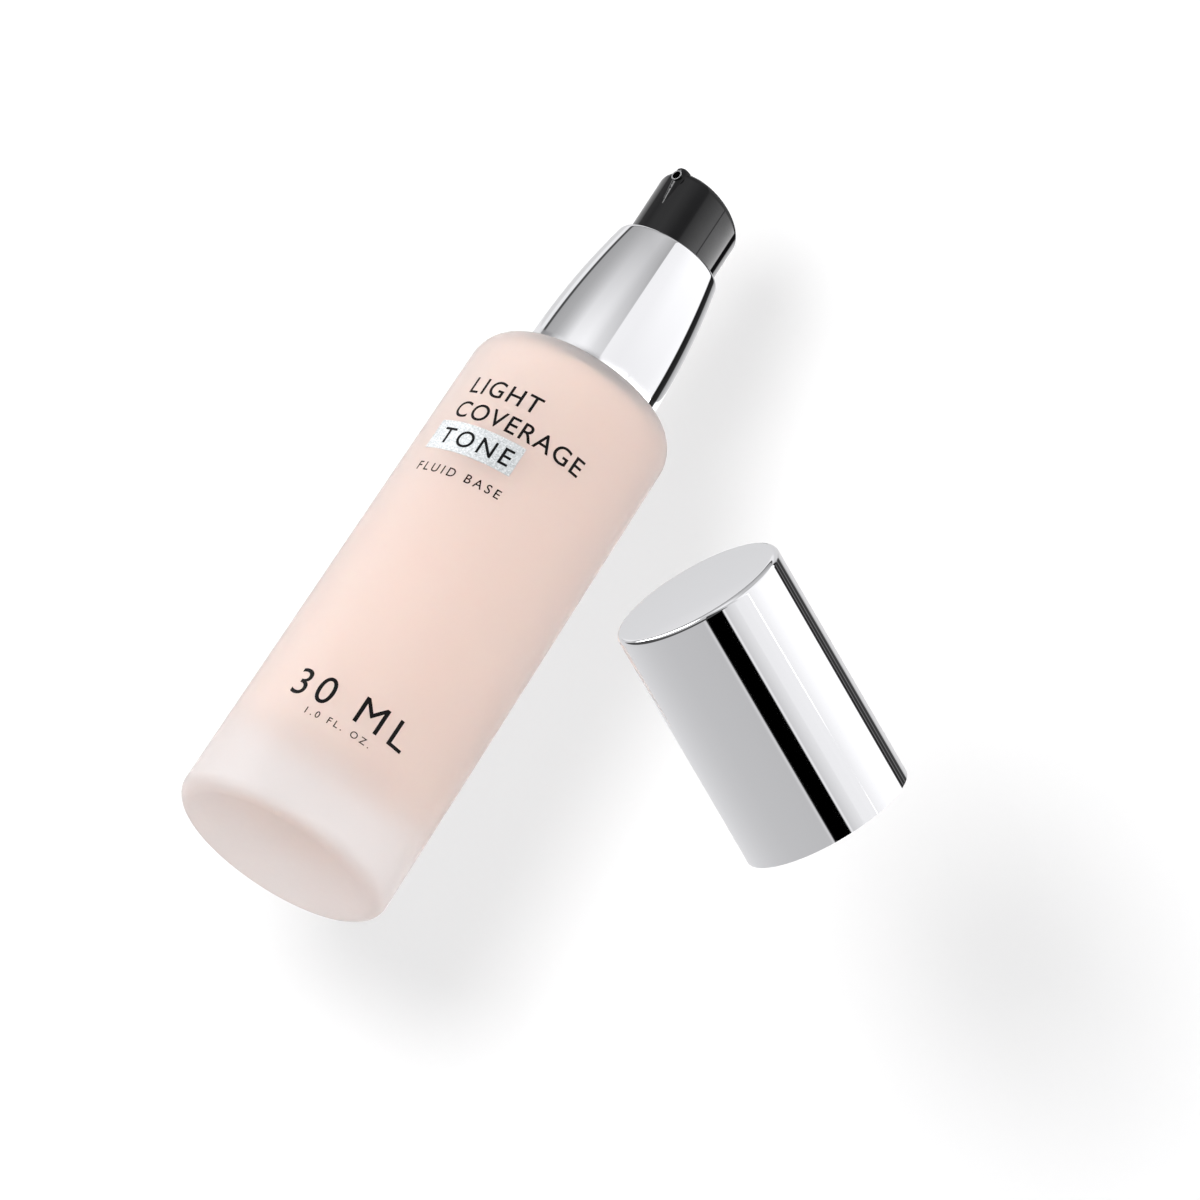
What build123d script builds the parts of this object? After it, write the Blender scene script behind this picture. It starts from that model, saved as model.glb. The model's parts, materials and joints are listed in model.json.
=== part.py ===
"""Pump bottle of liquid foundation with its cap off, in millimetres.

The bottle stands on z = 0 with its axis on Z. The label faces -Y. The cap leans on its
rim in front of the bottle, to the right.
"""
from build123d import *
import math
import os

# ---------------------------------------------------------------- driving dimensions
overlap = 0.1               # how far one shape reaches into the shape it joins or cuts

# Glass body: a cylinder with a slight taper, a thick base and a round shoulder
base_r = 17.03              # radius where the side line meets the floor
shoulder_r = 15.97          # radius where the side line meets the shoulder plane
body_h = 85.75              # floor to the flat ring under the neck
heel_fillet = 2.4
shoulder_fillet = 5.4
base_thickness = 14.0       # solid glass under the cavity
wall = 4.4
cavity_top_z = 83.6
cavity_floor_fillet = 6.0
cavity_top_fillet = 5.0
fill_z = 82.9               # level of the foundation, for 30 ml

# Neck with two thread rings
neck_r = 7.1
neck_bore_r = 5.0
neck_h = 10.25
neck_root_fillet = 0.5
neck_lip_fillet = 0.3
thread_depth = 0.8
thread_base_h = 1.5
thread_tip_h = 0.6
thread_rise = (2.9, 6.3)    # middle of each ring above the shoulder plane

# Pump housing, from its flange on the neck down to the dip tube socket
gasket_h = 0.8
gasket_r = 7.0
gasket_bore_r = 5.2
flange_r = 7.2
flange_h = 1.0
housing_r = 4.4
pump_bore_r = 3.5
pump_floor_z = 76.5
ball_chamber_r = 1.45
ball_floor_z = 73.5
seat_hole_r = 0.8
tail_r = 2.6
tail_top_z = 73.0
tail_end_z = 68.0
tube_socket_z = 72.4
tube_r = 1.5
tube_bore_r = 1.0
tube_floor_gap = 1.0

# Inlet valve
ball_r = 1.2
ball_seat_gap = 0.03
retainer_h = 0.6
retainer_r = 3.4
retainer_hole_r = 0.6
retainer_slots = 3
retainer_slot = (1.6, 0.7)  # length and width

# Piston, stem and spring
lost_motion = 0.7           # stem travel before the piston follows
slide_gap = 0.05            # radial clearance of each sliding fit
core_end_z = 86.0
core_head_h = 1.4
core_head_r = 3.0           # carries the top of the return spring
core_r = 0.9
core_plug_z = (94.0, 96.5)
core_slots = 3
core_slot_w = 0.6
piston_h = 3.55
piston_waist_r = 2.9
piston_lip_h = 0.8
stem_r = 1.9
stem_bore_r = 1.2
stem_flange_r = 2.6
stem_flange_h = 0.8
stem_top_z = 107.5
stem_chamfer = 0.2
spring_mean_r = 2.75
spring_wire_r = 0.25
spring_turns = 6
spring_head_gap = 0.03      # last coil to the head of the core

# Lock ring over the housing, and the screw closure
lock_r = 4.6
lock_flange_h = 1.0
closure_r = 9.0
closure_bore_r = 8.1
closure_foot_gap = 0.55     # shoulder plane to the closure's lower edge
closure_foot_h = 2.4
closure_hole_r = 4.8
closure_web = 1.1
closure_chamfer = 0.5
closure_side_gap = 0.06     # closure's foot to the collar's inner wall
closure_thread_depth = 0.7
closure_thread_rise = (4.6, 8.0)

# Collar: a thin metal shell that narrows upwards along one arc
collar_r = 10.58
collar_top_r = 8.12
collar_top_z = 109.35
collar_foot_gap = 0.15
collar_wall = 0.6
collar_top_wall = 0.8
collar_fillet = 0.95
collar_opening_r = 7.25

# Actuator with a slanted top and a nozzle at its high side
actuator_r = 7.05
actuator_wall = 0.9
actuator_foot_z = 103.6
actuator_ceiling_z = 114.6
actuator_mid_z = 118.1      # height of the slanted top on the axis
actuator_slope = 0.305
actuator_fillet = 0.9
actuator_blank_z = 123.0
nozzle_turn = -36.9         # degrees from -Y, positive towards +X
nozzle_z = 118.7
nozzle_r = 0.84
nozzle_bore_r = 0.64
nozzle_start = 5.6
nozzle_end = 7.72
nozzle_hole_depth = 3.6
channel_r = 0.5
prow_foot = (6.55, 112.6, 0.35)     # distance from the axis, height, radius
prow_head = (6.2, 121.0, 1.6)
prow_drop = 0.1             # top of the prow below the slanted top
prow_fillet = 0.4
insert_post_r = 3.0
insert_web = (109.4, 110.8)
insert_channel_r = 0.8
insert_inset = 0.1          # post's foot above the actuator's lower edge
socket_depth = 4.0

# Silver patch on the label side
patch_thickness = 0.06
patch_z = (61.4, 66.4)
patch_turn = (-51.3, 3.0)   # degrees from -Y, positive towards +X

# Cap, leaning on the lowest point of its rim
cap_r = 12.52
cap_h = 37.0
cap_wall = 0.5
cap_top_wall = 0.6
cap_fillet = 0.8
cap_rim_centre = (77.14, -92.90)
cap_heading = 214.9         # degrees from +X of the closed end's direction
cap_tilt = 17.93            # degrees that the closed end rises above level
liner_wall = 1.0
liner_top_wall = 1.2
liner_inset = 0.35
grip_ribs = 8
grip_rib_depth = 0.38
grip_rib_w = 1.2
grip_rib_h = 7.0

# ---------------------------------------------------------------- worked-out sizes
neck_top_z = body_h + neck_h
gasket_top_z = neck_top_z + gasket_h
flange_top_z = gasket_top_z + flange_h
retainer_top_z = pump_floor_z + retainer_h
head_top_z = core_end_z + core_head_h
piston_low_z = head_top_z + slide_gap
piston_top_z = piston_low_z + piston_h
stem_low_z = piston_top_z + lost_motion
stem_stop_z = stem_low_z + stem_flange_h + slide_gap
closure_top_z = flange_top_z + closure_web
cavity_floor_r = base_r - wall
cavity_roof_r = shoulder_r - wall
actuator_bore_r = actuator_r - actuator_wall
nozzle_angle = math.radians(nozzle_turn)
nozzle_dir = Vector(math.sin(nozzle_angle), -math.cos(nozzle_angle), 0)
top_normal = Vector(0, 0, 1) - nozzle_dir * actuator_slope


def side_r(z):
    """Radius of the glass body's tapered side at height z."""
    return base_r + (shoulder_r - base_r) * z / body_h


def ring(inner_r, outer_r, low_z, high_z, mode=Mode.ADD):
    """Half section of a plain ring or disc, drawn in the XZ plane."""
    with Locations(((inner_r + outer_r) / 2, (low_z + high_z) / 2)):
        Rectangle(outer_r - inner_r, high_z - low_z, mode=mode)


def cavity_outline():
    """Half section of the space inside the glass body, below the neck."""
    with BuildSketch(Plane.XZ) as outline:
        with BuildLine():
            Polyline(
                (0, base_thickness),
                (cavity_floor_r, base_thickness),
                (cavity_roof_r, cavity_top_z),
                (0, cavity_top_z),
                close=True,
            )
        make_face()
        roof_corner, floor_corner = outline.vertices().sort_by(Axis.X)[-2:]
        fillet(floor_corner, cavity_floor_fillet)
        fillet(roof_corner, cavity_top_fillet)
    return outline.sketch_local


def thread_ring(root_r, tip_r, mid_z):
    """Half section of one thread ring, wide at its root and narrow at its tip."""
    Polygon(
        (root_r, mid_z - thread_base_h / 2),
        (tip_r, mid_z - thread_tip_h / 2),
        (tip_r, mid_z + thread_tip_h / 2),
        (root_r, mid_z + thread_base_h / 2),
        align=None,
    )


os.makedirs("parts", exist_ok=True)

# ---------------------------------------------------------------- glass bottle
cavity = cavity_outline()

with BuildPart() as bottle:
    with BuildSketch(Plane.XZ) as glass:
        with BuildLine():
            Polyline(
                (0, 0),
                (base_r, 0),
                (shoulder_r, body_h),
                (neck_r, body_h),
                (neck_r, neck_top_z),
                (0, neck_top_z),
                close=True,
            )
        make_face()
        root, shoulder = glass.vertices().filter_by_position(Axis.Y, body_h, body_h).sort_by(Axis.X)
        heel = glass.vertices().sort_by(Axis.X)[-1]
        fillet(heel, heel_fillet)
        fillet(shoulder, shoulder_fillet)
        fillet(root, neck_root_fillet)
        for rise in thread_rise:
            thread_ring(neck_r - overlap, neck_r + thread_depth, body_h + rise)
        add(cavity, mode=Mode.SUBTRACT)
        ring(0, neck_bore_r, cavity_top_z - overlap, neck_top_z, mode=Mode.SUBTRACT)
    revolve(axis=Axis.Z)
    fillet(bottle.edges().group_by(Axis.Z)[-1], neck_lip_fillet)
bottle.part.label = "bottle"
export_step(bottle.part, "parts/bottle.step")

# ---------------------------------------------------------------- foundation
with BuildPart() as foundation_fill:
    with BuildSketch(Plane.XZ):
        add(cavity)
        ring(0, cavity_floor_r, fill_z, cavity_top_z + overlap, mode=Mode.SUBTRACT)
    revolve(axis=Axis.Z)
    with BuildSketch(Plane.XZ):
        with BuildLine():
            Polyline(
                (0, base_thickness + tube_floor_gap),
                (tube_r, base_thickness + tube_floor_gap),
                (tube_r, tail_end_z),
                (tail_r, tail_end_z),
                (tail_r, tail_top_z),
                (housing_r, pump_floor_z),
                (housing_r, cavity_top_z),
                (0, cavity_top_z),
                close=True,
            )
        make_face()
    revolve(axis=Axis.Z, mode=Mode.SUBTRACT)
foundation_fill.part.label = "foundation_fill"
export_step(foundation_fill.part, "parts/foundation_fill.step")

# ---------------------------------------------------------------- silver patch
patch_start = Plane.XZ.rotated((0, 0, patch_turn[0] - 90))

with BuildPart() as foil_patch:
    with BuildSketch(patch_start):
        with BuildLine():
            Polyline(
                (side_r(patch_z[0]), patch_z[0]),
                (side_r(patch_z[0]) + patch_thickness, patch_z[0]),
                (side_r(patch_z[1]) + patch_thickness, patch_z[1]),
                (side_r(patch_z[1]), patch_z[1]),
                close=True,
            )
        make_face()
    revolve(axis=Axis.Z, revolution_arc=patch_turn[1] - patch_turn[0])
foil_patch.part.label = "foil_patch"
export_step(foil_patch.part, "parts/foil_patch.step")

# ---------------------------------------------------------------- neck gasket
with BuildPart() as neck_gasket:
    with BuildSketch(Plane.XZ):
        ring(gasket_bore_r, gasket_r, neck_top_z, gasket_top_z)
    revolve(axis=Axis.Z)
neck_gasket.part.label = "neck_gasket"
export_step(neck_gasket.part, "parts/neck_gasket.step")

# ---------------------------------------------------------------- pump housing
with BuildPart() as pump_housing:
    with BuildSketch(Plane.XZ):
        with BuildLine():
            Polyline(
                (seat_hole_r, ball_floor_z),
                (seat_hole_r, tube_socket_z),
                (tube_r, tube_socket_z),
                (tube_r, tail_end_z),
                (tail_r, tail_end_z),
                (tail_r, tail_top_z),
                (housing_r, pump_floor_z),
                (housing_r, gasket_top_z),
                (flange_r, gasket_top_z),
                (flange_r, flange_top_z),
                (pump_bore_r, flange_top_z),
                (pump_bore_r, pump_floor_z),
                (ball_chamber_r, pump_floor_z),
                (ball_chamber_r, ball_floor_z),
                close=True,
            )
        make_face()
    revolve(axis=Axis.Z)
pump_housing.part.label = "pump_housing"
export_step(pump_housing.part, "parts/pump_housing.step")

# ---------------------------------------------------------------- dip tube
tube_low_z = base_thickness + tube_floor_gap

with BuildPart() as dip_tube:
    with BuildSketch(Plane.XZ):
        ring(tube_bore_r, tube_r, tube_low_z, tube_socket_z)
    revolve(axis=Axis.Z)
    slant = Plane(origin=(tube_r, 0, tube_low_z), z_dir=(1, 0, 1))
    split(bisect_by=slant, keep=Keep.TOP)
dip_tube.part.label = "dip_tube"
export_step(dip_tube.part, "parts/dip_tube.step")

# ---------------------------------------------------------------- inlet ball and its retainer
ball_z = ball_floor_z + math.sqrt(ball_r**2 - seat_hole_r**2) + ball_seat_gap

with BuildPart() as inlet_ball:
    with Locations((0, 0, ball_z)):
        Sphere(ball_r)
inlet_ball.part.label = "inlet_ball"
export_step(inlet_ball.part, "parts/inlet_ball.step")

with BuildPart() as ball_retainer:
    with BuildSketch(Plane.XY.offset(pump_floor_z)):
        Circle(retainer_r)
        Circle(retainer_hole_r, mode=Mode.SUBTRACT)
        with PolarLocations(retainer_slot[0] / 2, retainer_slots):
            Rectangle(retainer_slot[0], retainer_slot[1], mode=Mode.SUBTRACT)
    extrude(amount=retainer_h)
ball_retainer.part.label = "ball_retainer"
export_step(ball_retainer.part, "parts/ball_retainer.step")

# ---------------------------------------------------------------- return spring
spring_low_z = retainer_top_z + spring_wire_r
spring_travel = core_end_z - spring_head_gap - spring_wire_r - spring_low_z

with BuildPart() as return_spring:
    with BuildLine():
        coil = Helix(
            pitch=spring_travel / spring_turns,
            height=spring_travel,
            radius=spring_mean_r,
            center=(0, 0, spring_low_z),
        )
    with BuildSketch(Plane(origin=coil @ 0, z_dir=coil % 0)):
        Circle(spring_wire_r)
    sweep(path=coil, is_frenet=True)
return_spring.part.label = "return_spring"
export_step(return_spring.part, "parts/return_spring.step")

# ---------------------------------------------------------------- stem core
with BuildPart() as stem_core:
    with BuildSketch(Plane.XZ):
        with BuildLine():
            Polyline(
                (0, core_end_z),
                (core_head_r, core_end_z),
                (core_head_r, core_end_z + core_head_h / 2),
                (core_r, head_top_z),
                (core_r, core_plug_z[0]),
                (stem_bore_r, core_plug_z[0]),
                (stem_bore_r, core_plug_z[1]),
                (0, core_plug_z[1]),
                close=True,
            )
        make_face()
    revolve(axis=Axis.Z)
    with BuildSketch(Plane.XY.offset(core_plug_z[0])):
        with PolarLocations(stem_bore_r, core_slots):
            Rectangle(core_slot_w, core_slot_w)
    extrude(amount=core_plug_z[1] - core_plug_z[0], mode=Mode.SUBTRACT)
stem_core.part.label = "stem_core"
export_step(stem_core.part, "parts/stem_core.step")

# ---------------------------------------------------------------- piston
lip_r = pump_bore_r - slide_gap

with BuildPart() as piston:
    with BuildSketch(Plane.XZ):
        ring(core_r + slide_gap, piston_waist_r, piston_low_z, piston_top_z)
        ring(piston_waist_r, lip_r, piston_low_z, piston_low_z + piston_lip_h)
        ring(piston_waist_r, lip_r, piston_top_z - piston_lip_h, piston_top_z)
    revolve(axis=Axis.Z)
piston.part.label = "piston"
export_step(piston.part, "parts/piston.step")

# ---------------------------------------------------------------- stem
with BuildPart() as stem:
    with BuildSketch(Plane.XZ):
        ring(stem_bore_r, stem_r, stem_low_z, stem_top_z)
        ring(stem_r, stem_flange_r, stem_low_z, stem_low_z + stem_flange_h)
    revolve(axis=Axis.Z)
    chamfer(stem.edges().group_by(Axis.Z)[-1], stem_chamfer)
stem.part.label = "stem"
export_step(stem.part, "parts/stem.step")

# ---------------------------------------------------------------- lock ring
with BuildPart() as housing_lock:
    with BuildSketch(Plane.XZ):
        ring(stem_r + slide_gap, pump_bore_r, stem_stop_z, flange_top_z)
        ring(stem_r + slide_gap, lock_r, flange_top_z, flange_top_z + lock_flange_h)
    revolve(axis=Axis.Z)
housing_lock.part.label = "housing_lock"
export_step(housing_lock.part, "parts/housing_lock.step")

# ---------------------------------------------------------------- screw closure
closure_foot_z = body_h + closure_foot_gap
closure_foot_r = collar_r - collar_wall - closure_side_gap

with BuildPart() as screw_closure:
    with BuildSketch(Plane.XZ):
        ring(closure_bore_r, closure_r, closure_foot_z, closure_top_z)
        ring(closure_r, closure_foot_r, closure_foot_z, closure_foot_z + closure_foot_h)
        ring(closure_hole_r, closure_r, flange_top_z, closure_top_z)
        for rise in closure_thread_rise:
            thread_ring(closure_bore_r + overlap, closure_bore_r - closure_thread_depth, body_h + rise)
    revolve(axis=Axis.Z)
    closure_rim = screw_closure.edges().group_by(Axis.Z)[-1].sort_by(SortBy.RADIUS)[-1]
    chamfer(closure_rim, closure_chamfer)
screw_closure.part.label = "screw_closure"
export_step(screw_closure.part, "parts/screw_closure.step")

# ---------------------------------------------------------------- collar
collar_foot_z = body_h + collar_foot_gap

with BuildPart() as collar_shell:
    with BuildSketch(Plane.XZ) as collar_section:
        with BuildLine():
            TangentArc(
                (collar_r, collar_foot_z),
                (collar_top_r, collar_top_z),
                tangent=(0, 1),
            )
            Polyline(
                (collar_top_r, collar_top_z),
                (collar_opening_r, collar_top_z),
                (collar_opening_r, collar_top_z - collar_top_wall),
                (collar_top_r - collar_wall, collar_top_z - collar_top_wall),
            )
            TangentArc(
                (collar_r - collar_wall, collar_foot_z),
                (collar_top_r - collar_wall, collar_top_z - collar_top_wall),
                tangent=(0, 1),
            )
            Line((collar_r - collar_wall, collar_foot_z), (collar_r, collar_foot_z))
        make_face()
        crown = collar_section.vertices().group_by(Axis.Y)[-1].sort_by(Axis.X)[-1]
        fillet(crown, collar_fillet)
    revolve(axis=Axis.Z)
collar_shell.part.label = "collar_shell"
export_step(collar_shell.part, "parts/collar_shell.step")

# ---------------------------------------------------------------- actuator shell
slanted_top = Plane(origin=(0, 0, actuator_mid_z), z_dir=top_normal)
nozzle_plane = Plane(origin=nozzle_dir * nozzle_start + Vector(0, 0, nozzle_z), z_dir=nozzle_dir)
channel_run = nozzle_dir * (nozzle_start + overlap) + Vector(0, 0, nozzle_z - actuator_ceiling_z)
channel_plane = Plane(origin=(0, 0, actuator_ceiling_z), z_dir=channel_run)

with BuildPart() as prow:
    for reach, height, radius in (prow_foot, prow_head):
        prow_centre = nozzle_dir * reach
        with BuildSketch(Plane.XY.offset(height)):
            with Locations((prow_centre.X, prow_centre.Y)):
                Circle(radius)
    loft()
    split(bisect_by=slanted_top.offset(-prow_drop), keep=Keep.BOTTOM)
    fillet(prow.faces().sort_by(Axis.Z)[-1].edges(), prow_fillet)

with BuildPart() as actuator_shell:
    with BuildSketch(Plane.XY.offset(actuator_foot_z)):
        Circle(actuator_r)
    extrude(amount=actuator_blank_z - actuator_foot_z)
    split(bisect_by=slanted_top, keep=Keep.BOTTOM)
    fillet(actuator_shell.faces().sort_by(Axis.Z)[-1].edges(), actuator_fillet)
    add(prow.part)
    with BuildSketch(Plane.XY.offset(actuator_foot_z)):
        Circle(actuator_bore_r)
    extrude(amount=actuator_ceiling_z - actuator_foot_z, mode=Mode.SUBTRACT)
    with BuildSketch(nozzle_plane):
        Circle(nozzle_r)
    extrude(amount=nozzle_hole_depth, mode=Mode.SUBTRACT)
    with BuildSketch(channel_plane):
        Circle(channel_r)
    extrude(amount=channel_run.length, mode=Mode.SUBTRACT)
actuator_shell.part.label = "actuator_shell"
export_step(actuator_shell.part, "parts/actuator_shell.step")

# ---------------------------------------------------------------- actuator insert
socket_r = stem_r + slide_gap
post_foot_z = actuator_foot_z + insert_inset

with BuildPart() as actuator_insert:
    with BuildSketch(Plane.XZ):
        ring(0, insert_post_r, post_foot_z, actuator_ceiling_z)
        ring(insert_post_r, actuator_bore_r, insert_web[0], insert_web[1])
        ring(0, socket_r, post_foot_z, post_foot_z + socket_depth, mode=Mode.SUBTRACT)
        ring(0, insert_channel_r, post_foot_z, actuator_ceiling_z, mode=Mode.SUBTRACT)
    revolve(axis=Axis.Z)
actuator_insert.part.label = "actuator_insert"
export_step(actuator_insert.part, "parts/actuator_insert.step")

# ---------------------------------------------------------------- nozzle tip
with BuildPart() as nozzle_tip:
    with BuildSketch(nozzle_plane):
        Circle(nozzle_r)
        Circle(nozzle_bore_r, mode=Mode.SUBTRACT)
    extrude(amount=nozzle_end - nozzle_start)
nozzle_tip.part.label = "nozzle_tip"
export_step(nozzle_tip.part, "parts/nozzle_tip.step")

# ---------------------------------------------------------------- cap
heading = math.radians(cap_heading)
tilt = math.radians(cap_tilt)
cap_axis = Vector(
    math.cos(tilt) * math.cos(heading),
    math.cos(tilt) * math.sin(heading),
    math.sin(tilt),
)
rim_z = cap_r * math.cos(tilt)
rim_plane = Plane(origin=(*cap_rim_centre, rim_z), z_dir=cap_axis)

with BuildPart() as cap_shell:
    with BuildSketch(rim_plane):
        Circle(cap_r)
    extrude(amount=cap_h)
    cap_end = cap_shell.faces().sort_by(Axis(rim_plane.origin, cap_axis))[-1]
    fillet(cap_end.edges(), cap_fillet)
    with BuildSketch(rim_plane):
        Circle(cap_r - cap_wall)
    extrude(amount=cap_h - cap_top_wall, mode=Mode.SUBTRACT)
cap_shell.part.label = "cap_shell"
export_step(cap_shell.part, "parts/cap_shell.step")

liner_r = cap_r - cap_wall
liner_bore_r = liner_r - liner_wall
liner_plane = rim_plane.offset(liner_inset)
liner_h = cap_h - cap_top_wall - liner_inset

with BuildPart() as cap_liner:
    with BuildSketch(liner_plane):
        Circle(liner_r)
    extrude(amount=liner_h)
    with BuildSketch(liner_plane):
        Circle(liner_bore_r)
    extrude(amount=liner_h - liner_top_wall, mode=Mode.SUBTRACT)
    with BuildSketch(liner_plane):
        with PolarLocations(liner_bore_r - grip_rib_depth / 2, grip_ribs):
            Rectangle(grip_rib_depth + 2 * overlap, grip_rib_w)
    extrude(amount=grip_rib_h)
cap_liner.part.label = "cap_liner"
export_step(cap_liner.part, "parts/cap_liner.step")
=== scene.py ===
"""Looks of the foundation bottle: glass, metal, pump, prints, stage, lights and camera.

Lengths are in metres, in the CAD model's frame: the bottle stands on z = 0 round the Z axis, and
its label faces -Y. A turn is an angle round Z in degrees from -Y, positive towards +X.
"""
import bmesh
import bpy
import json
import math
from mathutils import Matrix, Vector


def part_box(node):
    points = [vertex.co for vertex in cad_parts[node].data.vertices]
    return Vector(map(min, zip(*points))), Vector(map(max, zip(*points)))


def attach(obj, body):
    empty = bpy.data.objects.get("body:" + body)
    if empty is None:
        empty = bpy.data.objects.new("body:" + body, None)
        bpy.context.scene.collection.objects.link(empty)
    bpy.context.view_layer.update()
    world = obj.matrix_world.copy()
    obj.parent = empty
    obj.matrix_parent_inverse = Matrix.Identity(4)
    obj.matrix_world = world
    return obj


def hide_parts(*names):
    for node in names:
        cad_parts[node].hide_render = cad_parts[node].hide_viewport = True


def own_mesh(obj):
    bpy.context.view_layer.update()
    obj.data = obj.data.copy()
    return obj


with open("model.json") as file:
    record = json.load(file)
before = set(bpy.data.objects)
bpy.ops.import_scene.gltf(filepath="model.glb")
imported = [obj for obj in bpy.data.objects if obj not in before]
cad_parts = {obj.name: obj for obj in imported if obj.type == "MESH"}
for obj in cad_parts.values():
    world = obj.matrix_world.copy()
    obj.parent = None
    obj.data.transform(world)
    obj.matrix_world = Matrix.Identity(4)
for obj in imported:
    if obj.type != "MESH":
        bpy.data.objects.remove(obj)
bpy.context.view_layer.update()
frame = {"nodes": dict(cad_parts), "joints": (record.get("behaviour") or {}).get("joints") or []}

MM = 0.001
BOTTLE = "bottle_assembly"

# ---------------------------------------------------------------- sizes taken from the frame
bottle_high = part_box("bottle")[1]
collar_low, collar_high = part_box("collar_shell")
patch_low, patch_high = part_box("foil_patch")
fill_low, fill_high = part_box("foundation_fill")
spring_low, spring_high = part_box("return_spring")
cap_joint = next(joint for joint in frame["joints"] if joint["name"] == "cap_tip")

# ---------------------------------------------------------------- sizes of the shapes made here
BASE_R = 17.03 * MM          # radius where the side line meets the floor
SHOULDER_R = 15.97 * MM      # radius where the side line meets the shoulder plane
BODY_H = 85.75 * MM
HEEL_FILLET = 2.4 * MM
SHOULDER_FILLET = 5.4 * MM
NECK_R = 7.1 * MM
NECK_BORE_R = 5.0 * MM
NECK_ROOT_FILLET = 0.5 * MM
NECK_LIP_FILLET = 0.3 * MM
WALL = 4.4 * MM
CAVITY_TOP = 83.6 * MM
CAVITY_TOP_FILLET = 5.0 * MM
CAVITY_FLOOR_FILLET = 6.0 * MM
GLASS_GRIP = 0.02 * MM       # how far the foundation and the prints reach over the glass's face
TUBE_R = 1.55 * MM           # hole in the foundation round the dip tube
TAIL_R = 2.65 * MM           # hole round the pump housing's tail
TAIL_LOW = 67.9 * MM
TAIL_HIGH = 73.0 * MM
HOUSING_R = 4.45 * MM        # hole round the pump housing
HOUSING_LOW = 76.5 * MM
PATCH_TURN = (-51.3, 3.0)
PATCH_INNER = 0.01 * MM      # the foil's two faces above the glass
PATCH_OUTER = 0.05 * MM
COLLAR_R = 10.58 * MM
COLLAR_TOP_R = 8.12 * MM
COLLAR_WALL = 0.6 * MM
COLLAR_LID = 0.8 * MM
COLLAR_FILLET = 0.95 * MM
COLLAR_OPENING_R = 7.25 * MM
CAP_R = 12.52 * MM
CAP_H = 37.0 * MM
CAP_WALL = 0.5 * MM
CAP_LID = 0.6 * MM
CAP_FILLET = 0.8 * MM
CAP_INNER_FILLET = 0.3 * MM
CAP_TILT = math.radians(-cap_joint["range_deg"][0])
SPRING_TURNS = 6
SPRING_WIRE_R = 0.25 * MM
SPRING_WIRE_GAP = 0.01 * MM  # the coil is drawn this much thinner, to stay inside its CAD solid
NOZZLE_TURN = -36.9
SHARP_ANGLE = math.radians(35)


def side_r(z):
    """Radius of the glass body's tapered side at height z."""
    return BASE_R + (SHOULDER_R - BASE_R) * z / BODY_H


# ---------------------------------------------------------------- mesh helpers
def rounded(corners, steps=8):
    """A profile from corners (r, z) or (r, z, fillet), with each filleted corner made an arc."""
    points = []
    for index, corner in enumerate(corners):
        here = Vector(corner[:2])
        if len(corner) == 2:
            points.append(here)
            continue
        before = (Vector(corners[index - 1][:2]) - here).normalized()
        after = (Vector(corners[(index + 1) % len(corners)][:2]) - here).normalized()
        half = before.angle(after) / 2
        centre = here + (before + after).normalized() * corner[2] / math.sin(half)
        reach = corner[2] / math.tan(half)
        start = here + before * reach - centre
        end = here + after * reach - centre
        sweep = start.angle(end)
        for step in range(steps + 1):
            done = sweep * step / steps
            points.append(centre + (start * math.sin(sweep - done) + end * math.sin(done)) / math.sin(sweep))
    return points


def bowed(start, end, steps=24):
    """Points from start to end along the arc that leaves start along Z."""
    start, end = Vector(start), Vector(end)
    rise = end.y - start.y
    drop = start.x - end.x
    radius = (rise * rise + drop * drop) / (2 * drop)
    points = []
    for step in range(steps + 1):
        height = rise * step / steps
        inset = radius - math.sqrt(radius * radius - height * height)
        points.append(Vector((start.x - inset, start.y + height)))
    return points


def new_object(name, mesh_maker):
    """A mesh object whose geometry mesh_maker(bm) fills in."""
    bm = bmesh.new()
    mesh_maker(bm)
    bmesh.ops.recalc_face_normals(bm, faces=bm.faces)
    mesh = bpy.data.meshes.new(name)
    bm.to_mesh(mesh)
    bm.free()
    for polygon in mesh.polygons:
        polygon.use_smooth = True
    mesh.set_sharp_from_angle(angle=SHARP_ANGLE)
    piece = bpy.data.objects.new(name, mesh)
    bpy.context.scene.collection.objects.link(piece)
    return piece


def turned(name, profile, loop=False, segments=256, start=0.0, sweep=360.0):
    """A profile of (r, z) points turned round Z. A loop profile closes on itself."""
    full = sweep >= 360.0
    columns = segments if full else segments + 1

    def fill(bm):
        rows = []
        for point in profile:
            if point.x < 1e-7:
                rows.append([bm.verts.new((0, 0, point.y))] * columns)
                continue
            row = []
            for column in range(columns):
                angle = math.radians(start + sweep * column / segments)
                place = (point.x * math.sin(angle), -point.x * math.cos(angle), point.y)
                row.append(bm.verts.new(place))
            rows.append(row)
        pairs = list(zip(rows, rows[1:]))
        if loop:
            pairs.append((rows[-1], rows[0]))
        for lower, upper in pairs:
            for column in range(segments):
                after = (column + 1) % columns
                corners = [lower[column], lower[after], upper[after], upper[column]]
                unique = list(dict.fromkeys(corners))
                if len(unique) > 2:
                    bm.faces.new(unique)
        if not full:
            bm.faces.new([row[0] for row in rows])
            bm.faces.new([row[-1] for row in rows])

    return new_object(name, fill)


# ---------------------------------------------------------------- material helpers
def surface(name, **sockets):
    """A material with a Principled BSDF whose sockets are set by name, spaces as underscores."""
    made = bpy.data.materials.new(name)
    made.use_nodes = True
    shader = made.node_tree.nodes["Principled BSDF"]
    for socket, value in sockets.items():
        shader.inputs[socket.replace("_", " ")].default_value = value
    return made


def node(material, kind, **values):
    """A new node of a material, with its inputs set by name and its settings by attribute."""
    made = material.node_tree.nodes.new(kind)
    for key, value in values.items():
        if hasattr(made, key):
            setattr(made, key, value)
        else:
            made.inputs[key.replace("_", " ")].default_value = value
    return made


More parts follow.
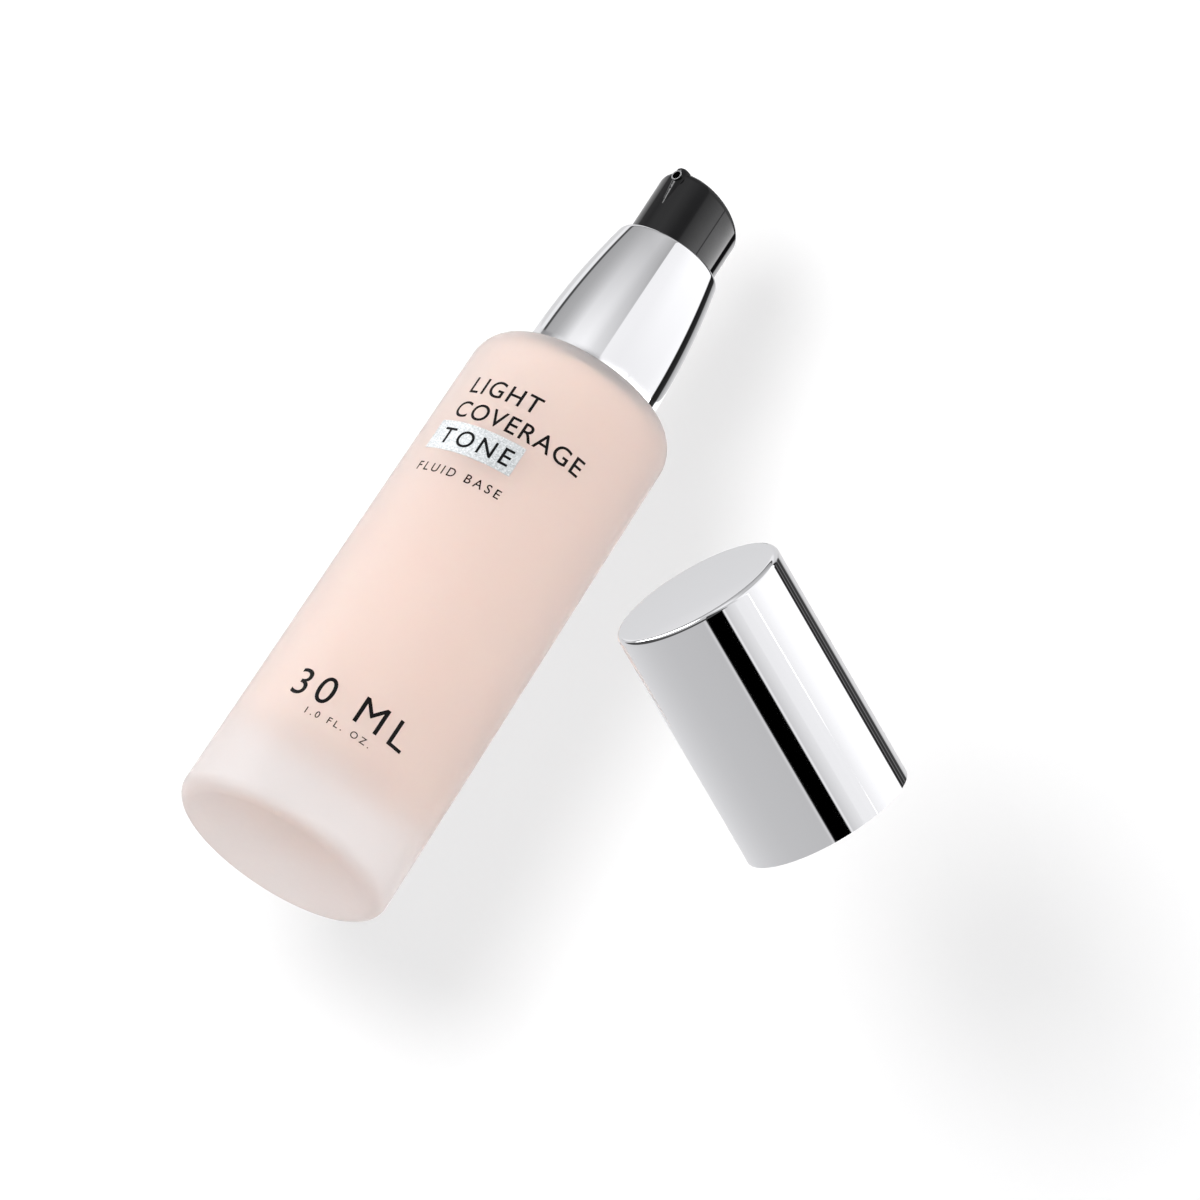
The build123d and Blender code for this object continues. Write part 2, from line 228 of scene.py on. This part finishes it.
def link(material, source, target):
    material.node_tree.links.new(source, target)


def shader_of(material):
    return material.node_tree.nodes["Principled BSDF"]


def mottled_roughness(material, low, high, scale, detail=4.0):
    """Lets the roughness wander between two values, as handled surfaces do."""
    place = node(material, "ShaderNodeTexCoord")
    noise = node(material, "ShaderNodeTexNoise", Scale=scale, Detail=detail)
    spread = node(material, "ShaderNodeMapRange", To_Min=low, To_Max=high)
    link(material, place.outputs["Object"], noise.inputs["Vector"])
    link(material, noise.outputs["Fac"], spread.inputs["Value"])
    link(material, spread.outputs["Result"], shader_of(material).inputs["Roughness"])
    return noise


def fine_bump(material, scale, strength, distance, detail=3.0):
    """A fine relief from noise, for moulded, etched and cast surfaces."""
    place = node(material, "ShaderNodeTexCoord")
    noise = node(material, "ShaderNodeTexNoise", Scale=scale, Detail=detail)
    bump = node(material, "ShaderNodeBump", Strength=strength, Distance=distance)
    link(material, place.outputs["Object"], noise.inputs["Vector"])
    link(material, noise.outputs["Fac"], bump.inputs["Height"])
    link(material, bump.outputs["Normal"], shader_of(material).inputs["Normal"])


def dress(piece, material, body, slot, *nodes):
    """Gives a piece its material and body, and hides the CAD nodes it stands for. The slot argument is not
    used.
    """
    piece.data.materials.clear()
    piece.data.materials.append(material)
    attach(piece, body)
    if nodes:
        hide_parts(*nodes)


# ---------------------------------------------------------------- materials
def make_glass():
    """Etched outside, so it scatters; the thick base swallows more light than the walls do."""
    made = surface("frosted_glass", Base_Color=(0.905, 0.89, 0.888, 1), IOR=1.5, Transmission_Weight=0.74)
    absorb = node(made, "ShaderNodeVolumeAbsorption", Color=(0.91, 0.89, 0.885, 1), Density=60.0)
    link(made, absorb.outputs["Volume"], made.node_tree.nodes["Material Output"].inputs["Volume"])
    mottled_roughness(made, 0.46, 0.58, 900.0)
    fine_bump(made, 4200.0, 0.15, 0.00002)
    return made


def make_foundation():
    made = surface(
        "foundation", Base_Color=(0.95, 0.75, 0.66, 1), Roughness=0.35, Subsurface_Weight=0.15,
        Subsurface_Radius=(0.004, 0.002, 0.0012), Subsurface_Scale=0.3,
    )
    place = node(made, "ShaderNodeTexCoord")
    noise = node(made, "ShaderNodeTexNoise", Scale=55.0, Detail=3.0)
    tint = node(made, "ShaderNodeValToRGB")
    tint.color_ramp.elements[0].position = 0.3
    tint.color_ramp.elements[0].color = (0.97, 0.70, 0.575, 1)
    tint.color_ramp.elements[1].position = 0.7
    tint.color_ramp.elements[1].color = (0.98, 0.73, 0.61, 1)
    link(made, place.outputs["Object"], noise.inputs["Vector"])
    link(made, noise.outputs["Fac"], tint.inputs["Fac"])
    link(made, tint.outputs["Color"], shader_of(made).inputs["Base Color"])
    return made


def make_mirror():
    made = surface("mirror_metal", Base_Color=(0.86, 0.86, 0.875, 1), Metallic=1.0, Roughness=0.04)
    mottled_roughness(made, 0.02, 0.06, 260.0)
    return made


def make_black_gloss():
    made = surface(
        "black_gloss", Base_Color=(0.002, 0.002, 0.0025, 1), IOR=1.5, Specular_IOR_Level=0.36
    )
    mottled_roughness(made, 0.03, 0.05, 500.0)
    fine_bump(made, 2600.0, 0.03, 0.000005)
    return made


def make_moulded(name, colour, rough, grain=1800.0):
    made = surface(name, Base_Color=(*colour, 1), IOR=1.49)
    mottled_roughness(made, rough - 0.06, rough + 0.06, 420.0)
    fine_bump(made, grain, 0.12, 0.00003)
    return made


def make_steel():
    made = surface("bright_steel", Base_Color=(0.62, 0.62, 0.64, 1), Metallic=1.0)
    mottled_roughness(made, 0.16, 0.28, 1500.0)
    return made


def make_foil():
    """Silver glitter: small flakes, each with its own tilt and shade."""
    made = surface("silver_foil", Metallic=0.45, Roughness=0.4)
    place = node(made, "ShaderNodeTexCoord")
    flakes = node(made, "ShaderNodeTexVoronoi", Scale=5200.0)
    shade = node(made, "ShaderNodeValToRGB")
    shade.color_ramp.elements[0].color = (0.48, 0.51, 0.52, 1)
    shade.color_ramp.elements[1].color = (0.90, 0.92, 0.93, 1)
    bump = node(made, "ShaderNodeBump", Strength=0.45, Distance=0.00004)
    link(made, place.outputs["Object"], flakes.inputs["Vector"])
    link(made, flakes.outputs["Color"], shade.inputs["Fac"])
    link(made, flakes.outputs["Color"], bump.inputs["Height"])
    link(made, shade.outputs["Color"], shader_of(made).inputs["Base Color"])
    link(made, bump.outputs["Normal"], shader_of(made).inputs["Normal"])
    return made


def make_ink():
    made = surface("printed_ink", Base_Color=(0.003, 0.003, 0.0035, 1), Specular_IOR_Level=0.15)
    mottled_roughness(made, 0.32, 0.5, 2400.0)
    return made


def make_nozzle_painted_light():
    """Painted shade darkens the inside of its bore, and a painted highlight makes its end face light grey.
    """
    made = surface("nozzle_painted_light", IOR=1.49)
    turn = math.radians(NOZZLE_TURN)
    place = node(made, "ShaderNodeTexCoord")
    # Painted light: faces pointing along the nozzle get a light grey painted highlight, the bore's wall a
    # dark painted shade
    dot = node(made, "ShaderNodeVectorMath", operation="DOT_PRODUCT")
    dot.inputs[1].default_value = (math.sin(turn), -math.cos(turn), 0)
    shade = node(made, "ShaderNodeValToRGB")
    shade.color_ramp.elements[0].position = 0.6
    shade.color_ramp.elements[0].color = (0.002, 0.002, 0.002, 1)
    shade.color_ramp.elements[1].position = 0.9
    shade.color_ramp.elements[1].color = (0.24, 0.24, 0.245, 1)
    link(made, place.outputs["Normal"], dot.inputs[0])
    link(made, dot.outputs["Value"], shade.inputs["Fac"])
    link(made, shade.outputs["Color"], shader_of(made).inputs["Base Color"])
    mottled_roughness(made, 0.2, 0.3, 2600.0)
    return made


glass = make_glass()
foundation = make_foundation()
mirror = make_mirror()
black_gloss = make_black_gloss()
black_plastic = make_moulded("black_plastic", (0.02, 0.02, 0.021), 0.4)
# the nozzle's colour holds a painted highlight on its end face and painted shade in its bore
nozzle_painted_light = make_nozzle_painted_light()
white_plastic = make_moulded("white_plastic", (0.86, 0.86, 0.85), 0.38)
liner_plastic = make_moulded("liner_plastic", (0.80, 0.80, 0.81), 0.4)
natural_plastic = make_moulded("natural_plastic", (0.74, 0.77, 0.79), 0.33)
piston_plastic = make_moulded("piston_plastic", (0.70, 0.76, 0.84), 0.3)
gasket_foam = make_moulded("gasket_foam", (0.84, 0.84, 0.82), 0.8, grain=5200.0)
steel = make_steel()
foil = make_foil()
ink = make_ink()


# ---------------------------------------------------------------- glass and contents
def make_bottle():
    floor = fill_low.z
    profile = rounded([
        (0, 0),
        (BASE_R, 0, HEEL_FILLET),
        (SHOULDER_R, BODY_H, SHOULDER_FILLET),
        (NECK_R, BODY_H, NECK_ROOT_FILLET),
        (NECK_R, bottle_high.z, NECK_LIP_FILLET),
        (NECK_BORE_R, bottle_high.z, NECK_LIP_FILLET),
        (NECK_BORE_R, CAVITY_TOP),
        (SHOULDER_R - WALL, CAVITY_TOP, CAVITY_TOP_FILLET),
        (BASE_R - WALL, floor, CAVITY_FLOOR_FILLET),
        (0, floor),
    ], steps=12)
    dress(turned("glass_bottle", profile), glass, BOTTLE, "frosted_glass", "bottle")


def make_contents():
    """The foundation wets the glass, so it stands a hair outside the cavity's wall."""
    floor = fill_low.z - GLASS_GRIP
    profile = rounded([
        (TUBE_R, floor),
        (BASE_R - WALL + GLASS_GRIP, floor, CAVITY_FLOOR_FILLET),
        (side_r(fill_high.z) - WALL + GLASS_GRIP, fill_high.z),
        (HOUSING_R, fill_high.z),
        (HOUSING_R, HOUSING_LOW),
        (TAIL_R, TAIL_HIGH),
        (TAIL_R, TAIL_LOW),
        (TUBE_R, TAIL_LOW),
    ], steps=12)
    piece = turned("foundation_liquid", profile, loop=True)
    dress(piece, foundation, BOTTLE, "foundation", "foundation_fill")


def make_patch():
    """A glitter foil wrapped on the glass, a hair thinner than its CAD solid."""
    low, high = patch_low.z, patch_high.z
    section = [
        Vector((side_r(low) + PATCH_INNER, low)),
        Vector((side_r(low) + PATCH_OUTER, low)),
        Vector((side_r(high) + PATCH_OUTER, high)),
        Vector((side_r(high) + PATCH_INNER, high)),
    ]
    start, end = PATCH_TURN
    piece = turned("silver_patch", section, loop=True, segments=60, start=start, sweep=end - start)
    dress(piece, foil, BOTTLE, "silver_foil", "foil_patch")


make_bottle()
make_contents()
make_patch()


# ---------------------------------------------------------------- prints
CAPITAL_SHARE = 0.729        # height of a capital in the built-in font, as a share of its size
INK_THICKNESS = 0.008 * MM
PRINT_STEP = 0.3 * MM        # the letters are cut this finely to wrap round the glass


def flat_text(words, height, spacing, weight):
    """A flat mesh of words in capitals of a given height, from x = 0, and its width."""
    curve = bpy.data.curves.new("words", "FONT")
    curve.body = words
    curve.size = height / CAPITAL_SHARE
    curve.space_character = spacing
    curve.extrude = INK_THICKNESS
    curve.offset = weight * height
    curve.resolution_u = 6
    holder = bpy.data.objects.new("words", curve)
    bpy.context.scene.collection.objects.link(holder)
    bpy.context.view_layer.update()
    settled = holder.evaluated_get(bpy.context.evaluated_depsgraph_get())
    mesh = bpy.data.meshes.new_from_object(settled)
    bpy.data.objects.remove(holder)
    xs = [vertex.co.x for vertex in mesh.vertices]
    mesh.transform(Matrix.Translation((-min(xs), 0, 0)))
    return mesh, max(xs) - min(xs)


def printed(name, words, height, width, left_turn, base_z, weight=0.008, lift=0.0):
    """Words printed on the tapered glass, letter-spaced to a given width."""
    tight_width = flat_text(words, height, 1.0, weight)[1]
    loose_width = flat_text(words, height, 1.5, weight)[1]
    spacing = 1.0 + 0.5 * (width - tight_width) / (loose_width - tight_width)
    mesh, made_width = flat_text(words, height, spacing, weight)
    bm = bmesh.new()
    bm.from_mesh(mesh)
    for cut in range(1, int(made_width / PRINT_STEP) + 1):
        everything = bm.verts[:] + bm.edges[:] + bm.faces[:]
        place = (cut * PRINT_STEP, 0, 0)
        bmesh.ops.bisect_plane(bm, geom=everything, plane_co=place, plane_no=(1, 0, 0))
    for vertex in bm.verts:
        z = base_z + vertex.co.y
        radius = side_r(z) + GLASS_GRIP + lift + vertex.co.z
        angle = math.radians(left_turn) + vertex.co.x / side_r(z)
        vertex.co = (radius * math.sin(angle), -radius * math.cos(angle), z)
    bm.to_mesh(mesh)
    bm.free()
    piece = bpy.data.objects.new(name, mesh)
    bpy.context.scene.collection.objects.link(piece)
    dress(piece, ink, BOTTLE, "black_plastic")


printed("print_top_line", "LIGHT", 2.9 * MM, 12.2 * MM, -46.0, 71.65 * MM)
printed("print_second_line", "COVERAGE", 2.9 * MM, 22.2 * MM, -46.2, 67.3 * MM)
printed("print_patch_word", "TONE", 2.85 * MM, 12.4 * MM, -44.5, 62.5 * MM, lift=PATCH_OUTER)
printed("print_small_line", "FLUID BASE", 1.5 * MM, 14.7 * MM, -47.1, 57.5 * MM)
printed("print_volume", "30 ML", 4.6 * MM, 19.2 * MM, -32.5, 17.4 * MM, weight=0.0)
printed("print_volume_small", "1.0 FL. OZ.", 1.1 * MM, 10.7 * MM, -18.3, 15.1 * MM)


# ---------------------------------------------------------------- collar
def make_collar():
    foot, top = collar_low.z, collar_high.z
    side = bowed((COLLAR_R, foot), (COLLAR_TOP_R, top))
    inside = bowed((COLLAR_R - COLLAR_WALL, foot), (COLLAR_TOP_R - COLLAR_WALL, top - COLLAR_LID))
    crown = rounded([
        tuple(side[-2]),
        (COLLAR_TOP_R, top, COLLAR_FILLET),
        (COLLAR_OPENING_R, top),
    ], steps=12)[1:]
    kept = [point for point in side if point.y < crown[0].y - 0.02 * MM]
    profile = kept + crown + [Vector((COLLAR_OPENING_R, top - COLLAR_LID))] + inside[::-1]
    piece = turned("mirror_collar", profile, loop=True, segments=384)
    dress(piece, mirror, BOTTLE, "mirror_metal", "collar_shell")


make_collar()


# ---------------------------------------------------------------- cap
def cap_axes():
    """The cap's hinge line, its axis towards the closed end, and the centre of its rim."""
    across = Vector(cap_joint["axis"]).normalized()
    heading = Vector((0, 0, 1)).cross(across)
    upward = Vector((0, 0, 1)) * math.cos(CAP_TILT) - heading * math.sin(CAP_TILT)
    axis = heading * math.cos(CAP_TILT) + Vector((0, 0, 1)) * math.sin(CAP_TILT)
    return across, axis, Vector(cap_joint["pos_m"]) + upward * CAP_R


def make_cap():
    shell = rounded([
        (CAP_R, 0),
        (CAP_R, CAP_H, CAP_FILLET),
        (0, CAP_H),
        (0, CAP_H - CAP_LID),
        (CAP_R - CAP_WALL, CAP_H - CAP_LID, CAP_INNER_FILLET),
        (CAP_R - CAP_WALL, 0),
    ], steps=10)
    piece = turned("mirror_cap", shell, loop=True, segments=384)
    across, axis, rim = cap_axes()
    turn = Matrix((across, axis.cross(across), axis)).transposed().to_4x4()
    piece.data.transform(Matrix.Translation(rim) @ turn)
    dress(piece, mirror, "cap", "mirror_metal", "cap_shell")


make_cap()


# ---------------------------------------------------------------- return spring
def make_spring(sides=12, columns=288):
    """A round wire wound round Z."""
    wire_r = SPRING_WIRE_R - SPRING_WIRE_GAP
    coil_r = spring_high.x - SPRING_WIRE_R
    low, high = spring_low.z + SPRING_WIRE_R, spring_high.z - SPRING_WIRE_R

    def fill(bm):
        loops = []
        for column in range(columns + 1):
            done = column / columns
            angle = math.tau * SPRING_TURNS * done
            out = Vector((math.cos(angle), math.sin(angle), 0))
            centre = out * coil_r + Vector((0, 0, low + (high - low) * done))
            around = (math.tau * side / sides for side in range(sides))
            loops.append([
                bm.verts.new(centre + out * wire_r * math.cos(a) + Vector((0, 0, wire_r * math.sin(a))))
                for a in around
            ])
        for first, second in zip(loops, loops[1:]):
            for side in range(sides):
                after = (side + 1) % sides
                bm.faces.new((first[side], first[after], second[after], second[side]))
        bm.faces.new(loops[0])
        bm.faces.new(loops[-1])

    piece = new_object("coil_spring", fill)
    dress(piece, steel, BOTTLE, "steel", "return_spring")
    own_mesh(piece)


make_spring()


# ---------------------------------------------------------------- CAD pieces that keep their shape
finishes = {
    "actuator_shell": black_gloss,
    "actuator_insert": black_plastic,
    "nozzle_tip": nozzle_painted_light,
    "cap_liner": liner_plastic,
    "screw_closure": white_plastic,
    "housing_lock": white_plastic,
    "stem": white_plastic,
    "stem_core": white_plastic,
    "pump_housing": natural_plastic,
    "ball_retainer": natural_plastic,
    "dip_tube": natural_plastic,
    "piston": piston_plastic,
    "neck_gasket": gasket_foam,
    "inlet_ball": steel,
}
for name, finish in finishes.items():
    for material_slot in frame["nodes"][name].material_slots:
        material_slot.material = finish


# ---------------------------------------------------------------- camera
VIEW_TURN = 9.5             # where the camera stands round the bottle
VIEW_RISE = -20.49          # it looks up from under the base
VIEW_LEAN = 33.05           # the bottle leans to the right in the picture
VIEW_DISTANCE = 2.4
SENSOR = 36.0               # in the camera's own millimetres, as is the lens
LENS = 501.75
AIM_Z = 60 * MM
AIM_ASIDE = (15.27 * MM, -10.70 * MM)


def view_axes():
    """The directions of the picture's right, its up, and back to the camera."""
    turn, rise, lean = (math.radians(a) for a in (VIEW_TURN, VIEW_RISE, VIEW_LEAN))
    back = Vector((math.sin(turn) * math.cos(rise), -math.cos(turn) * math.cos(rise), math.sin(rise)))
    level = Vector((math.cos(turn), math.sin(turn), 0))
    upright = back.cross(level)
    right = level * math.cos(lean) + upright * math.sin(lean)
    up = upright * math.cos(lean) - level * math.sin(lean)
    return right, up, back


def make_camera():
    right, up, back = view_axes()
    data = bpy.data.cameras.new("camera")
    data.sensor_width = SENSOR
    data.lens = LENS
    data.clip_end = 20.0
    camera = bpy.data.objects.new("camera", data)
    bpy.context.scene.collection.objects.link(camera)
    aim = Vector((0, 0, AIM_Z)) + right * AIM_ASIDE[0] + up * AIM_ASIDE[1]
    turn = Matrix((right, up, back)).transposed().to_4x4()
    camera.matrix_world = Matrix.Translation(aim + back * VIEW_DISTANCE) @ turn
    bpy.context.scene.camera = camera


make_camera()


# ---------------------------------------------------------------- stage and light
FLOOR_HALF = 3.0
FLOOR_DROP = 0.0002          # the floor lies this far under the base
FLOOR_GLOW = 0.25
BACKDROP_HALF = 1.5
BACKDROP_BEHIND = 0.11
BACKDROP_GLOW = 0.24
PAPER = 0.8                  # shade of the floor and the backdrop
DOME_R = 4.2
DOME_GLOW = 1.0

# Lights: place from the aim along the picture's right, its up and back to the camera; size; power
KEY_LIGHT = ((-0.13, 0.14, 1.1), 0.2, 5.6)
SIDE_LIGHT = ((-1.25, 0.2, 0.5), 0.5, 7.2)
TOP_PLACE = (-0.2, 0.5, 1.0)
TOP_SIZE = 0.5
TOP_POWER = 5.0

# Studio rings of light. A pair is a turn in degrees and the light there. A ring lies between two
# heights of the direction, from -1 straight down to 1 straight up, with a soft edge.
LIGHT_SCALE = 8.0            # the brightest a band can be
COOLNESS = 1.01              # blue over red in the studio's light
CAP_RISE = (0.2, 0.3)        # from the ring that the cap mirrors to the one that the collar does
COLLAR_RISE = (0.38, 0.65)   # from the collar's lower ring to its upper one
RIM_REACH = (0.27, 0.7, 0.03)    # how far a direction points along the cap's axis
EDGE_RISE = (0.72, 0.86, 0.03)
SLOT_RISE = (0.365, 0.3725, 0.0015)
STRIP_RISE = (0.05, 0.22, 0.03)
LEFT_BANDS_LOW = [
    (-180, 0.74), (-152, 0.74), (-143, 0.78), (-138, 0.95), (-129, 0.95), (-127, 0.08), (-121, 0.08),
    (-119, 0.42), (-96, 0.48), (-86, 0.57), (-76, 0.72), (-63, 1.0), (-40, 1.08), (-30, 1.0),
    (-20, 0.85), (-5.5, 0.77),
]
LEFT_BANDS_HIGH = [
    (-180, 0.74), (-152, 0.74), (-143, 0.78), (-138, 0.95), (-129, 0.95), (-127, 0.08), (-121, 0.08),
    (-119, 0.40), (-96, 0.45), (-76, 0.52), (-50, 0.62), (-36, 0.64), (-24, 0.57), (-12, 0.50),
    (-5.5, 0.44),
]
RIGHT_BANDS_LOW = [
    (-4.5, 1.02), (20, 0.98), (50, 0.99), (90, 1.02), (115, 1.1), (117, 0.01), (136, 0.03),
    (139, 0.42), (165, 0.75), (180, 0.74),
]
EDGE_BANDS = [
    (-4.5, 1.02), (20, 1.05), (50, 1.18), (115, 1.25), (117, 0.02), (126, 0.02), (128, 0.25),
    (130, 0.04), (140, 0.04), (142, 0.25), (144, 0.05), (154, 0.06), (158, 0.60), (180, 0.74),
]
RIM_BANDS = [(-180, 0.08), (180, 0.08)]
RIGHT_BANDS_HIGH = [
    (-4.5, 1.02), (20, 1.05), (50, 1.18), (115, 1.25), (117, 0.01), (136, 0.03), (139, 0.42),
    (165, 0.75), (180, 0.74),
]
SLOT_BANDS = [
    (-180, 0.8), (-140, 0.9), (-130, 0.8), (-126, 0.3), (-102, 0.37), (-81, 0.8), (-56, 1.0),
    (-40, 0.75), (-26, 0.45), (-12, 0.38), (-5, 0.5), (0, 1.2), (16, 2.0), (40, 3.3), (50.0, 3.6),
    (50.2, 1.0), (52.8, 1.0), (53.0, 3.7), (70, 4.3), (105, 5.6), (115, 5.8), (117, 0.02),
    (135, 0.05), (140, 2.0), (180, 0.8),
]
STRIP_BANDS = [
    (-180, 0.80), (-122, 0.70), (-114, 7.5), (-74, 7.5), (-66, 0.60), (-12, 0.57), (0, 0.75),
    (25, 0.9), (45, 0.98), (180, 0.90),
]
CAP_BANDS = [
    (-180, 0.80), (-147, 0.77), (-120, 0.71), (-92, 0.64), (-66, 0.60), (-11.5, 0.57), (-10.5, 0.70),
    (-8, 0.70), (-7, 0.0), (15.5, 0.0), (16.5, 0.95), (18, 0.95), (19.5, 0.69), (27, 0.80),
    (42, 0.98), (62, 1.05), (122, 1.15), (125, 0.08), (137, 0.06), (140, 0.25), (144, 0.08),
    (160, 0.10), (165, 0.3), (170, 0.85), (180, 0.80),
]


def one_sided(name, brightness, glow):
    """A pale matt surface that is seen from its front only, so that it hides nothing behind it."""
    made = bpy.data.materials.new(name)
    made.use_nodes = True
    tree = made.node_tree
    tree.nodes.clear()
    diffuse = node(made, "ShaderNodeBsdfDiffuse", Color=(brightness, brightness, brightness, 1))
    emit = node(made, "ShaderNodeEmission", Strength=glow)
    both = node(made, "ShaderNodeAddShader")
    clear = node(made, "ShaderNodeBsdfTransparent")
    side = node(made, "ShaderNodeNewGeometry")
    pick = node(made, "ShaderNodeMixShader")
    out = node(made, "ShaderNodeOutputMaterial")
    link(made, diffuse.outputs[0], both.inputs[0])
    link(made, emit.outputs[0], both.inputs[1])
    link(made, side.outputs["Backfacing"], pick.inputs[0])
    link(made, both.outputs[0], pick.inputs[1])
    link(made, clear.outputs[0], pick.inputs[2])
    link(made, pick.outputs[0], out.inputs["Surface"])
    return made


def stage_piece(name, mesh_maker, material):
    """A floor, backdrop or dome that the camera sees but that lights nothing and shades nothing."""
    piece = new_object(name, mesh_maker)
    piece.data.materials.append(material)
    piece.visible_diffuse = False
    piece.visible_glossy = False
    piece.visible_shadow = False
    return piece


def facing(centre, normal):
    return Matrix.Translation(centre) @ normal.to_track_quat("Z", "Y").to_matrix().to_4x4()


def make_stage():
    back = view_axes()[2]
    floor = stage_piece(
        "floor", lambda bm: bmesh.ops.create_grid(bm, size=FLOOR_HALF),
        one_sided("floor_paint", PAPER, FLOOR_GLOW),
    )
    floor.matrix_world = facing(Vector((0, 0, -FLOOR_DROP)), Vector((0, 0, 1)))
    backdrop = stage_piece(
        "backdrop", lambda bm: bmesh.ops.create_grid(bm, size=BACKDROP_HALF),
        one_sided("backdrop_paint", PAPER, BACKDROP_GLOW),
    )
    backdrop.matrix_world = facing(Vector((0, 0, AIM_Z)) - back * BACKDROP_BEHIND, back)
    dome = stage_piece(
        "dome", lambda bm: bmesh.ops.create_uvsphere(bm, u_segments=48, v_segments=24, radius=DOME_R),
        one_sided("dome_paint", 0.0, DOME_GLOW),
    )
    dome.data.flip_normals()


def soft_light(name, place, aim, size, energy, through_glass=True):
    """A round soft box that mirrors don't show."""
    data = bpy.data.lights.new(name, "AREA")
    data.shape = "DISK"
    data.size = size
    data.energy = energy
    light = bpy.data.objects.new(name, data)
    bpy.context.scene.collection.objects.link(light)
    light.matrix_world = facing(place, place - aim)
    light.visible_glossy = False
    light.visible_transmission = through_glass


def make_lights():
    right, up, back = view_axes()
    aim = Vector((0, 0, AIM_Z))
    for name, (place, size, power) in (("key", KEY_LIGHT), ("side", SIDE_LIGHT)):
        soft_light(name, aim + right * place[0] + up * place[1] + back * place[2], aim, size, power)
    soft_light("top", Vector(TOP_PLACE), aim, TOP_SIZE, TOP_POWER, through_glass=False)


def along(world, direction, axis):
    """How far a direction points along an axis."""
    dot = node(world, "ShaderNodeVectorMath", operation="DOT_PRODUCT")
    dot.inputs[1].default_value = axis
    link(world, direction, dot.inputs[0])
    return dot.outputs["Value"]


def ring_of_light(world, direction, ahead, aside, bands):
    """Light that depends on the turn of a direction, in degrees from ahead towards aside."""
    turn = node(world, "ShaderNodeMath", operation="ARCTAN2")
    link(world, along(world, direction, aside), turn.inputs[0])
    link(world, along(world, direction, ahead), turn.inputs[1])
    spread = node(world, "ShaderNodeMapRange", From_Min=-math.pi, From_Max=math.pi)
    link(world, turn.outputs[0], spread.inputs["Value"])
    ramp = node(world, "ShaderNodeValToRGB")
    stops = ramp.color_ramp.elements
    stops.remove(stops[-1])
    for index, (degrees, light) in enumerate(bands):
        place = degrees / 360 + 0.5
        stop = stops[0] if index == 0 else stops.new(place)
        stop.position = place
        level = light / LIGHT_SCALE
        stop.color = (level, level, level * COOLNESS, 1)
    link(world, spread.outputs["Result"], ramp.inputs["Fac"])
    return ramp.outputs["Color"]


def graded(world, rise, low, high, start, end):
    """Light that passes from one ring to another as the direction rises."""
    blend = node(world, "ShaderNodeMapRange", From_Min=start, From_Max=end)
    mix = node(world, "ShaderNodeMix", data_type="RGBA")
    link(world, rise, blend.inputs["Value"])
    link(world, blend.outputs["Result"], mix.inputs[0])
    link(world, low, mix.inputs[6])
    link(world, high, mix.inputs[7])
    return mix.outputs[2]


def banded(world, rise, around, within, low, high, soft):
    """Light that changes to another ring between two heights of the direction."""
    inside = graded(world, rise, around, within, low - soft, low)
    return graded(world, rise, inside, around, high, high + soft)


def make_world():
    """A studio of soft boxes and dark flags, which the collar and the cap mirror as stripes."""
    world = bpy.data.worlds.new("studio")
    bpy.context.scene.world = world
    world.use_nodes = True
    direction = node(world, "ShaderNodeTexCoord").outputs["Generated"]
    split = node(world, "ShaderNodeSeparateXYZ")
    link(world, direction, split.inputs[0])
    rise = split.outputs["Z"]
    turn = math.radians(VIEW_TURN)
    ahead = (math.sin(turn), -math.cos(turn), 0)
    aside = (math.cos(turn), math.sin(turn), 0)
    middle = ring_of_light(world, direction, ahead, aside, LEFT_BANDS_LOW + RIGHT_BANDS_LOW)
    top = ring_of_light(world, direction, ahead, aside, LEFT_BANDS_HIGH + RIGHT_BANDS_HIGH)
    back = view_axes()[2]
    axis = cap_axes()[1]
    cap_ahead = (back - axis * back.dot(axis)).normalized()
    below = ring_of_light(world, direction, cap_ahead, axis.cross(cap_ahead), CAP_BANDS)
    rim = ring_of_light(world, direction, cap_ahead, axis.cross(cap_ahead), RIM_BANDS)
    below = banded(world, along(world, direction, axis), below, rim, *RIM_REACH)
    light = graded(world, rise, below, graded(world, rise, middle, top, *COLLAR_RISE), *CAP_RISE)
    edge = ring_of_light(world, direction, ahead, aside, LEFT_BANDS_HIGH + EDGE_BANDS)
    light = banded(world, rise, light, edge, *EDGE_RISE)
    slot = ring_of_light(world, direction, ahead, aside, SLOT_BANDS)
    light = banded(world, rise, light, slot, *SLOT_RISE)
    strip = ring_of_light(world, direction, ahead, aside, STRIP_BANDS)
    light = banded(world, rise, light, strip, *STRIP_RISE)
    background = world.node_tree.nodes["Background"]
    link(world, light, background.inputs["Color"])
    background.inputs["Strength"].default_value = LIGHT_SCALE


make_stage()
make_lights()
make_world()
bpy.context.scene.view_settings.view_transform = "Standard"
